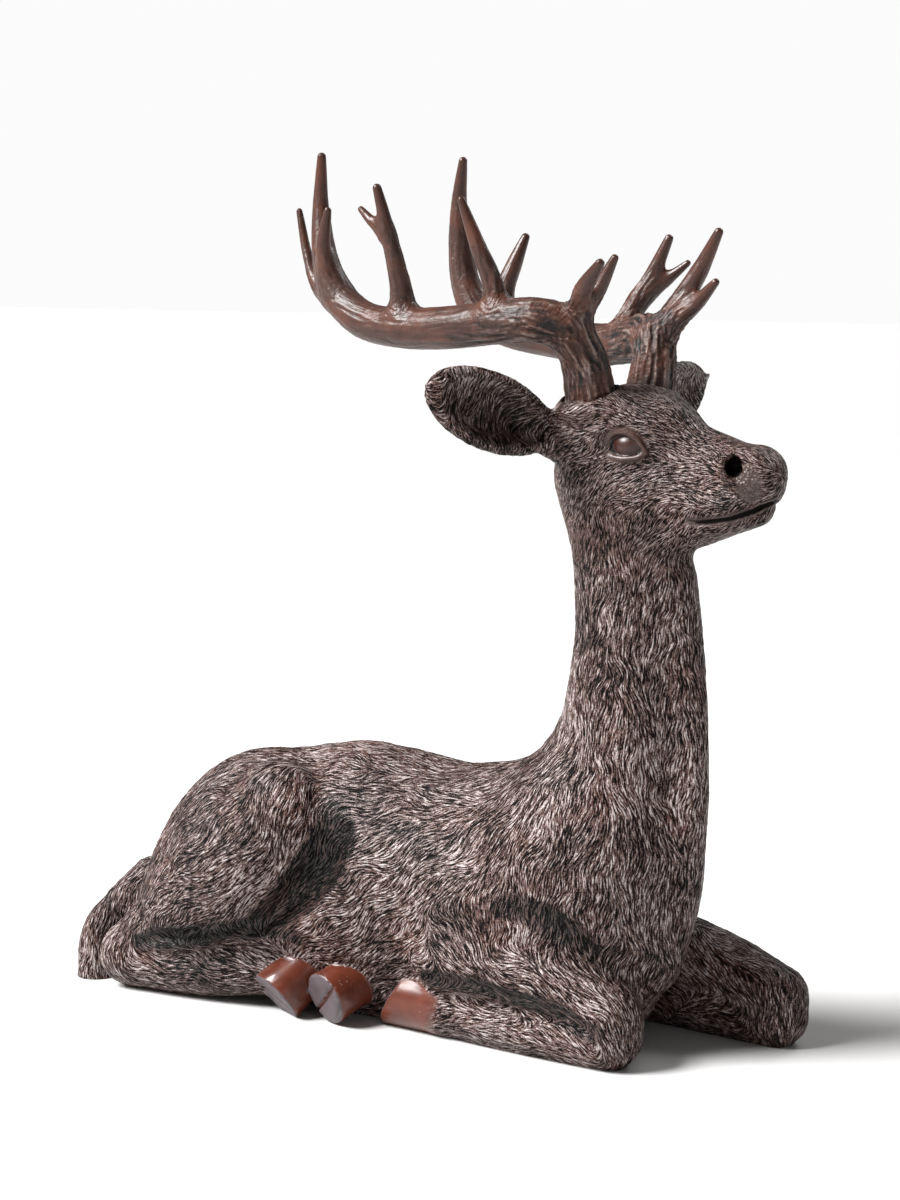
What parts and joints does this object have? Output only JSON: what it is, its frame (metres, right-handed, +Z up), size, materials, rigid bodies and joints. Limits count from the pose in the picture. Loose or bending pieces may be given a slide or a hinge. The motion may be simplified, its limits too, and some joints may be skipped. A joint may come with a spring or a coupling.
{
  "type": "lying deer statue",
  "caption": "Cast statue of an antlered stag lying with its legs folded under it and its head raised, standing on a flat underside.",
  "frame": {"origin": "on the flat underside, beneath the middle of the belly", "axes": "+X the way the stag faces, +Y its left, +Z up"},
  "size_m": [0.6537, 0.3172, 0.7],
  "materials": {
    "body_resin": "satin dark brown resin carved with fur and dry-brushed grey, with glossier red-brown hooves",
    "antler_resin": "semi-gloss brown resin with long grooves"
  },
  "bodies": {
    "root": {"stag": "body_resin", "antler_right": "antler_resin", "antler_left": "antler_resin"}
  },
  "joints": []
}
